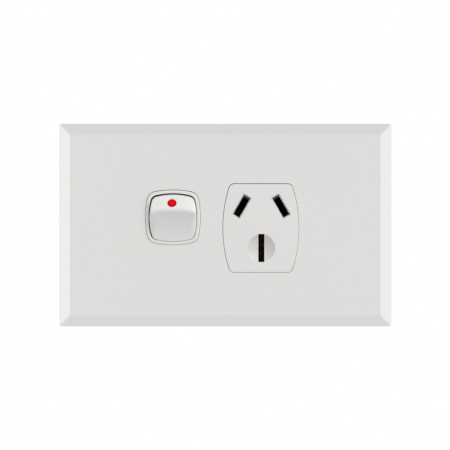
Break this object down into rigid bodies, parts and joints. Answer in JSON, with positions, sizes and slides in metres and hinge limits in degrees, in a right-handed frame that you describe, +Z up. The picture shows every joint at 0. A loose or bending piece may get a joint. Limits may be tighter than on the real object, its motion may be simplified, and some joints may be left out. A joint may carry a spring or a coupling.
{
  "type": "single power outlet",
  "caption": "Wall power outlet with a bevelled clip-on cover, a rocker switch with a red dot, a barrel-shaped socket face with leaning flat pin slots, and a rear housing with tunnel terminals.",
  "frame": {"origin": "middle of the plate, on the wall face", "axes": "+X to the right seen from the front, +Y into the wall, +Z up"},
  "size_m": [0.1164, 0.04, 0.071],
  "materials": {
    "white_cover": "smooth white moulding with a soft sheen",
    "red_dot": "bright red, smooth",
    "white_moulding": "plain white moulding",
    "brass_strip": "rolled and pressed",
    "brass_block": "turned and milled",
    "silver_tip": "silver rivet",
    "spring_wire": "drawn wire",
    "plated_steel": "zinc plated"
  },
  "bodies": {
    "root": {"cover_plate": "white_cover", "mounting_frame": "white_cover", "socket_face": "white_cover", "rear_housing": "white_moulding", "housing_screws": "plated_steel", "fixed_strip": "brass_strip", "fixed_tip": "silver_tip", "active_contact": "brass_strip", "neutral_contact": "brass_strip", "earth_contact": "brass_strip", "line_terminal": "brass_block", "line_terminal_screw": "plated_steel", "earth_terminal": "brass_block", "earth_terminal_screw": "plated_steel", "neutral_terminal": "brass_block", "neutral_terminal_screw": "plated_steel"},
    "rocker": {"rocker": "white_cover", "indicator_dot": "red_dot", "plunger_spring": "spring_wire"},
    "plunger": {"plunger": "white_moulding"},
    "lever": {"contact_lever": "brass_strip", "lever_tip": "silver_tip"}
  },
  "joints": [
    {"name": "rocker_tilt", "type": "hinge", "parent": "root", "child": "rocker", "pos_m": [-0.01828, -0.007, 0.00264], "axis": [1, 0, 0], "range_deg": [-10, 0]},
    {"name": "lever_rock", "type": "hinge", "parent": "root", "child": "lever", "pos_m": [-0.01828, 0.01, 0.00264], "axis": [1, 0, 0], "range_deg": [0, 24]},
    {"name": "plunger_slide", "type": "slide", "parent": "rocker", "child": "plunger", "axis": [0, -0.9962, -0.0872], "range_m": [0, 0.0015], "stiffness_N_per_m": 300, "deforming": ["plunger_spring"]}
  ],
  "couplings": [
    {"joint": "lever_rock", "follows": "rocker_tilt", "ratio": -2.4}
  ]
}
